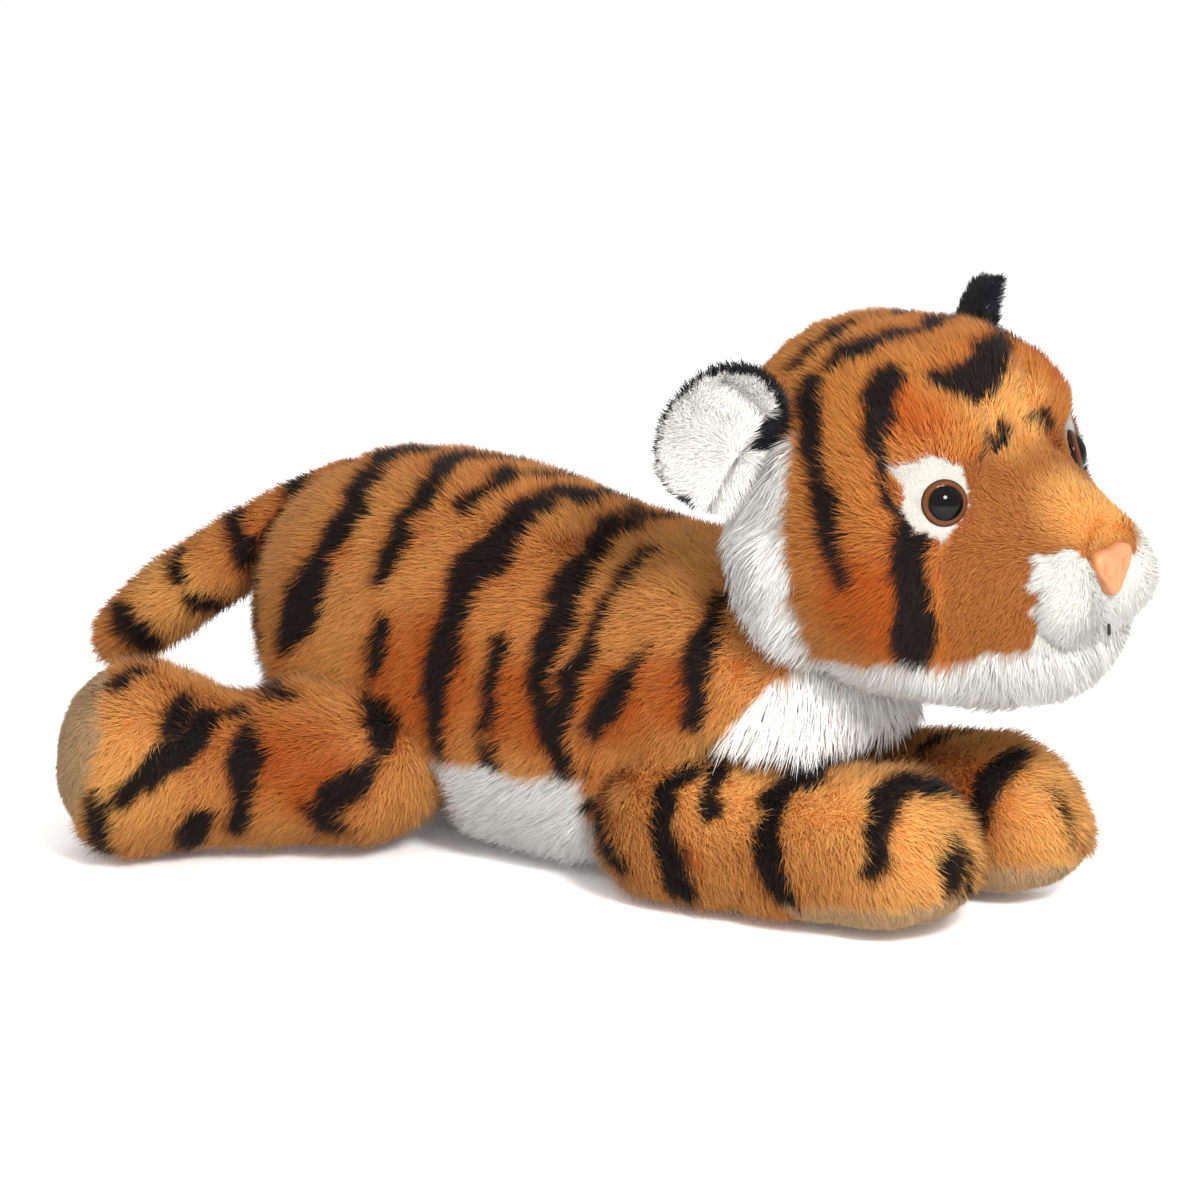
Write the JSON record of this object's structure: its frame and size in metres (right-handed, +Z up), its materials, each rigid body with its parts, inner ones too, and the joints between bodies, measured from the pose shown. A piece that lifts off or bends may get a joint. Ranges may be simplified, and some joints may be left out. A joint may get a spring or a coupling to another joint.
{
  "type": "stuffed animal",
  "caption": "Floppy stuffed tiger lying on its belly, with striped plush fabric, plastic eyes and nose, and bean-weighted belly and paws.",
  "frame": {"origin": "on the floor under the belly, in the middle plane, where the belly panel rests flat", "axes": "+X towards the nose, +Y to the toy's left, +Z up"},
  "size_m": [0.323, 0.2126, 0.1647],
  "materials": {
    "striped_plush": "dense short pile, orange with near-black stripes",
    "brown_plush": "short brushed pile, plain golden brown",
    "white_plush": "dense short pile",
    "long_white_plush": "long shaggy pile",
    "eye_patch_plush": "very short even pile",
    "muzzle_pad_plush": "short soft pile",
    "black_plush": "short pile",
    "ear_lining_plush": "short soft pile",
    "sole_plush": "very short pile",
    "filling_fibre": "loose polyester fibre",
    "bean_cloth": "plain woven cloth",
    "washer_plastic": "moulded",
    "eye_plastic": "polished dome, brown iris round a black pupil",
    "nose_plastic": "moulded, soft sheen",
    "mouth_thread": "thick sewing thread"
  },
  "bodies": {
    "torso": {"torso_skin": "striped_plush", "belly_panel": "white_plush", "chest_bib": "long_white_plush", "torso_stuffing": "filling_fibre", "belly_bean_pouch": "bean_cloth"},
    "neck": {"neck_gusset": "striped_plush"},
    "head": {"head_skin": "striped_plush", "snout_skin": "brown_plush", "jaw_ruff": "long_white_plush", "eye_patch_right": "eye_patch_plush", "cheek_ruff_right": "long_white_plush", "muzzle_pad_right": "muzzle_pad_plush", "eye_right": "eye_plastic", "eye_washer_right": "washer_plastic", "eye_patch_left": "eye_patch_plush", "cheek_ruff_left": "long_white_plush", "muzzle_pad_left": "muzzle_pad_plush", "eye_left": "eye_plastic", "eye_washer_left": "washer_plastic", "nose": "nose_plastic", "nose_washer": "washer_plastic", "mouth_stitch": "mouth_thread", "head_stuffing": "filling_fibre"},
    "ear_right": {"ear_back_right": "black_plush", "ear_lining_right": "ear_lining_plush"},
    "ear_left": {"ear_back_left": "black_plush", "ear_lining_left": "ear_lining_plush"},
    "tail": {"tail_skin": "striped_plush", "tail_stuffing": "filling_fibre"},
    "front_leg_right": {"front_leg_right_skin": "striped_plush", "front_leg_right_sole": "sole_plush", "front_leg_right_stuffing": "filling_fibre", "front_leg_right_bean_pouch": "bean_cloth"},
    "front_leg_left": {"front_leg_left_skin": "striped_plush", "front_leg_left_sole": "sole_plush", "front_leg_left_stuffing": "filling_fibre", "front_leg_left_bean_pouch": "bean_cloth"},
    "rear_leg_right": {"rear_leg_right_skin": "striped_plush", "rear_leg_right_sole": "sole_plush", "rear_leg_right_stuffing": "filling_fibre", "rear_leg_right_bean_pouch": "bean_cloth"},
    "rear_leg_left": {"rear_leg_left_skin": "striped_plush", "rear_leg_left_sole": "sole_plush", "rear_leg_left_stuffing": "filling_fibre", "rear_leg_left_bean_pouch": "bean_cloth"}
  },
  "joints": [
    {"name": "head_nod", "type": "hinge", "parent": "torso", "child": "neck", "pos_m": [0.042, 0, 0.054], "axis": [0, 1, 0], "range_deg": [-15, 6]},
    {"name": "head_turn", "type": "hinge", "parent": "neck", "child": "head", "pos_m": [0.042, 0, 0.054], "axis": [0, 0, 1], "range_deg": [-20, 20]},
    {"name": "tail_lift", "type": "hinge", "parent": "torso", "child": "tail", "pos_m": [-0.095, 0, 0.091], "axis": [0, 1, 0], "range_deg": [0, 50]},
    {"name": "front_leg_right_swing", "type": "hinge", "parent": "torso", "child": "front_leg_right", "pos_m": [0.034, -0.03, 0.022], "axis": [0, 0, 1], "range_deg": [-25, 0]},
    {"name": "front_leg_left_swing", "type": "hinge", "parent": "torso", "child": "front_leg_left", "pos_m": [0.034, 0.03, 0.022], "axis": [0, 0, 1], "range_deg": [0, 25]},
    {"name": "rear_leg_right_swing", "type": "hinge", "parent": "torso", "child": "rear_leg_right", "pos_m": [-0.061, -0.041, 0.027], "axis": [0, 0, 1], "range_deg": [-10, 25]},
    {"name": "rear_leg_left_swing", "type": "hinge", "parent": "torso", "child": "rear_leg_left", "pos_m": [-0.061, 0.041, 0.027], "axis": [0, 0, 1], "range_deg": [-25, 10]},
    {"name": "ear_right_fold", "type": "hinge", "parent": "head", "child": "ear_right", "pos_m": [0.06894, -0.04264, 0.12468], "axis": [0.4889, 0.2296, 0.8416], "range_deg": [-15, 15], "stiffness_Nm_per_rad": 0.02},
    {"name": "ear_left_fold", "type": "hinge", "parent": "head", "child": "ear_left", "pos_m": [0.07785, 0.04207, 0.13213], "axis": [0.4157, -0.4673, 0.7802], "range_deg": [-15, 15], "stiffness_Nm_per_rad": 0.02}
  ]
}
